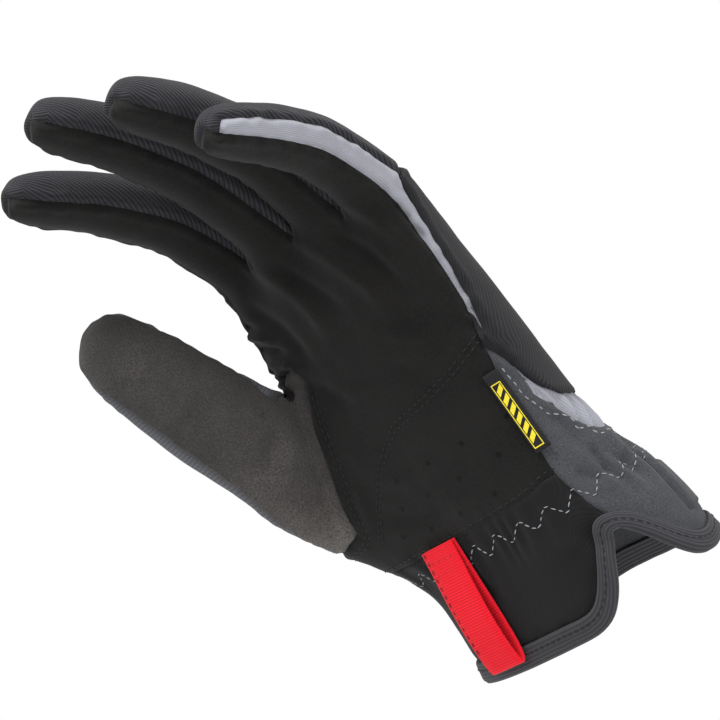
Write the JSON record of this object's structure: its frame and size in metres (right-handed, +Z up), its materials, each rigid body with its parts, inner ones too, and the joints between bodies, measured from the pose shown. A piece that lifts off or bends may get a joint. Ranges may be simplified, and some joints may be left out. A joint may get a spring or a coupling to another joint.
{
  "type": "mechanic glove",
  "caption": "Left-hand mechanic's work glove in its worn form: suede palm, knit finger backs, padded back, elastic slip-on cuff with a bound edge, side notch, webbing pull loop and side label.",
  "frame": {"origin": "middle of the wrist opening, where the wearer's wrist comes out, level with the palm side's cuff edge", "axes": "+Z up along the hand from the wrist to the fingers, palm faces -Y, thumb on -X, little finger on +X"},
  "size_m": [0.1232, 0.1142, 0.2225],
  "materials": {
    "black_suede": "matt brushed suede",
    "brown_grey_suede": "matt heathered suede",
    "charcoal_knit": "ribbed stretch knit",
    "black_knit": "plain stretch knit",
    "padded_mesh": "padded air-mesh knit",
    "light_grey_stretch": "smooth stretch cloth",
    "cuff_knit_dark": "fine neoprene-like knit",
    "cuff_knit_grey": "fine neoprene-like knit",
    "ribbed_binding": "ribbed elastic tape",
    "red_webbing": "woven webbing",
    "yellow_label": "woven label, plain"
  },
  "bodies": {
    "root": {"palm": "black_suede", "thumb_front": "brown_grey_suede", "thumb_back": "charcoal_knit", "thumb_web": "black_knit", "finger_back_index": "charcoal_knit", "finger_back_middle": "charcoal_knit", "finger_back_ring": "charcoal_knit", "finger_back_little": "charcoal_knit", "back_panel": "padded_mesh", "side_band": "light_grey_stretch", "wrist_gusset": "light_grey_stretch", "cuff_front": "cuff_knit_dark", "cuff_back": "cuff_knit_grey", "cuff_binding": "ribbed_binding", "pull_tab": "red_webbing", "side_label": "yellow_label"}
  },
  "joints": []
}
